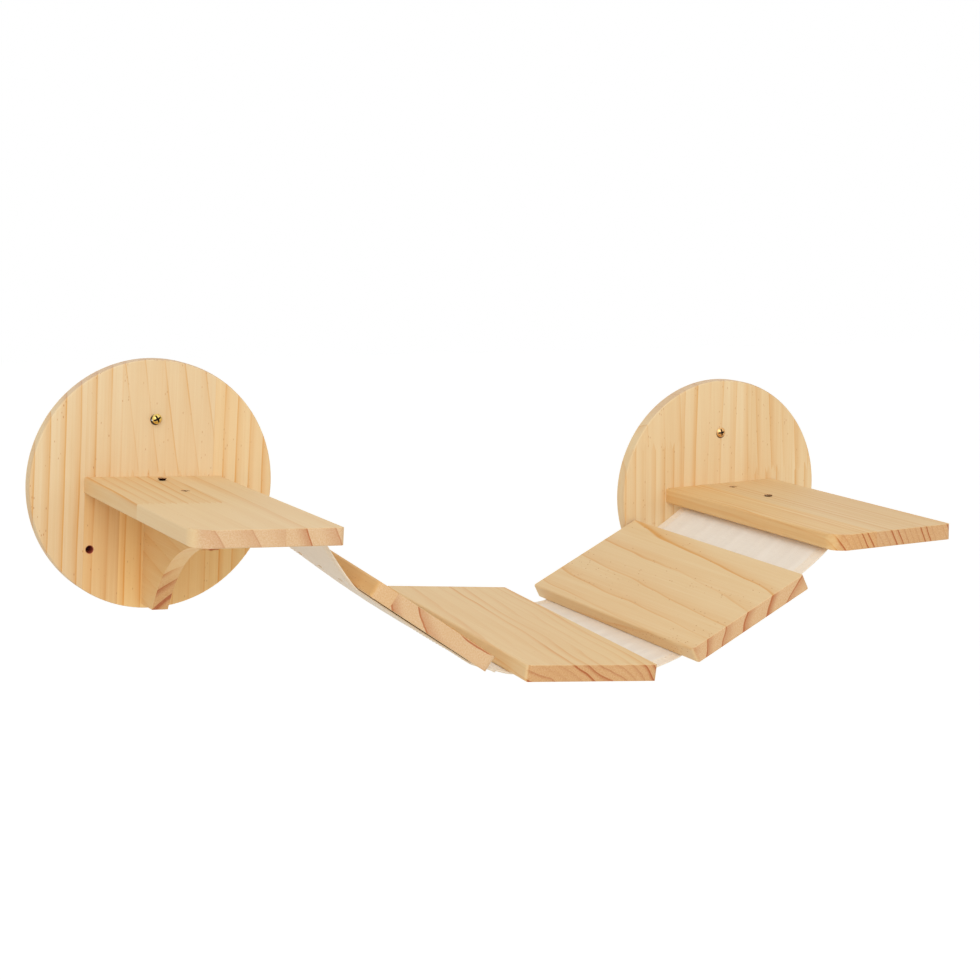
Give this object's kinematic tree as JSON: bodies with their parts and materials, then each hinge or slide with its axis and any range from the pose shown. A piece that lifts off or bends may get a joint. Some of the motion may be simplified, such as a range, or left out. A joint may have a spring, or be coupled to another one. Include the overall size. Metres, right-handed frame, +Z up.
{
  "type": "cat wall bridge shelf",
  "caption": "Round pine wall plates with shelves on curved gussets, joined by a hanging bridge of pine planks on a strip of cream canvas.",
  "frame": {"origin": "middle of the left wall plate, on the wall plane", "axes": "+X along the wall from the left plate towards the right one, +Y into the wall, +Z up"},
  "size_m": [0.8421, 0.3506, 0.2646],
  "materials": {
    "pine_plate": "bare sanded pine, grain upright",
    "pine_board": "bare sanded pine, grain along the board",
    "pine_gusset": "bare sanded pine",
    "canvas": "plain cream cotton canvas",
    "yellow_zinc": "yellow zinc plated",
    "staple_steel": "bright galvanised wire"
  },
  "bodies": {
    "brackets": {"left_wall_plate": "pine_plate", "left_shelf": "pine_board", "left_gusset": "pine_gusset", "left_wall_screw": "yellow_zinc", "left_shelf_screws": "yellow_zinc", "left_back_screws": "yellow_zinc", "left_shelf_staples": "staple_steel", "canvas_left_end": "canvas", "right_wall_plate": "pine_plate", "right_shelf": "pine_board", "right_gusset": "pine_gusset", "right_wall_screw": "yellow_zinc", "right_shelf_screws": "yellow_zinc", "right_back_screws": "yellow_zinc", "right_shelf_staples": "staple_steel", "canvas_right_end": "canvas"},
    "left_link": {"left_plank": "pine_board", "canvas_left": "canvas", "left_plank_staples": "staple_steel"},
    "middle_link": {"middle_plank": "pine_board", "canvas_middle": "canvas", "middle_plank_staples": "staple_steel"},
    "right_link": {"right_plank": "pine_board", "canvas_right": "canvas", "right_plank_staples": "staple_steel"}
  },
  "joints": [
    {"name": "left_swing", "type": "hinge", "parent": "brackets", "child": "left_link", "pos_m": [0.05817, -0.159, -0.01034], "axis": [0, 1, 0], "range_deg": [-4, 4]},
    {"name": "right_swing", "type": "hinge", "parent": "brackets", "child": "right_link", "pos_m": [0.55941, -0.159, -0.04476], "axis": [0, 1, 0], "range_deg": [-3.85, 3.85]},
    {"name": "right_fold", "type": "hinge", "parent": "right_link", "child": "middle_link", "pos_m": [0.3816, -0.15898, -0.13763], "axis": [-0.0003, 0.9997, 0.0256], "range_deg": [-11.7, 11.7]}
  ],
  "couplings": [
    {"joint": "right_swing", "follows": "left_swing", "ratio": 0.9531},
    {"joint": "right_fold", "follows": "left_swing", "ratio": -2.9129}
  ]
}
